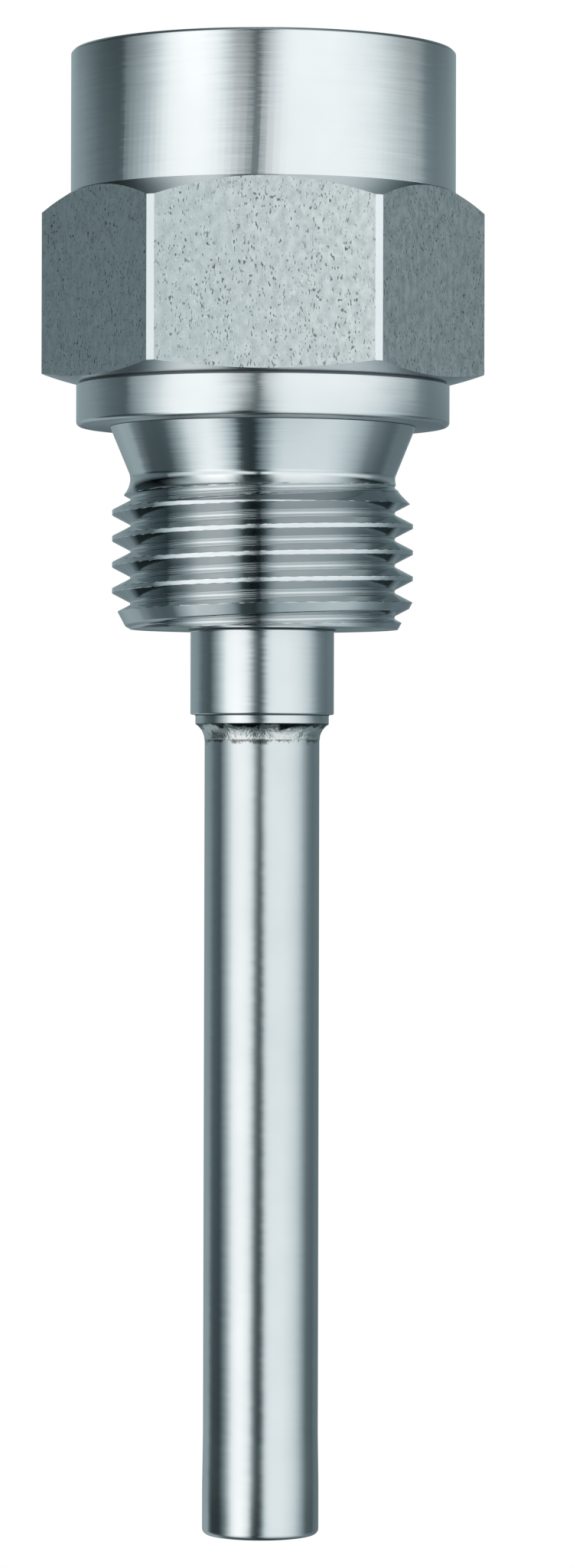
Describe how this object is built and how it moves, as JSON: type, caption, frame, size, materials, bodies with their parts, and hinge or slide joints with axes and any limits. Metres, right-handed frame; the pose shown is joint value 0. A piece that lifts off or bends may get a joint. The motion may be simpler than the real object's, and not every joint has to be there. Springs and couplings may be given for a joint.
{
  "type": "thermowell",
  "caption": "Screw-in thermowell: hexagon head with a threaded sensor socket, parallel pipe thread with undercut, boss, and a closed tube welded on for the probe.",
  "frame": {"origin": "centre of the sealing face, on the axis, where the underside of the sealing ring meets the vessel's boss", "axes": "+Z along the axis, out of the vessel towards the sensor socket; the closed tip points to -Z; one hexagon face looks towards -Y"},
  "size_m": [0.0308, 0.027, 0.1032],
  "materials": {
    "turned_steel": "fine turned stainless steel",
    "tube_steel": "bright drawn and ground stainless steel tube",
    "weld_steel": "rough weld metal"
  },
  "bodies": {
    "root": {"screw_in_body": "turned_steel", "stem_tube": "tube_steel", "stem_weld": "weld_steel", "tip_plug": "weld_steel"}
  },
  "joints": []
}
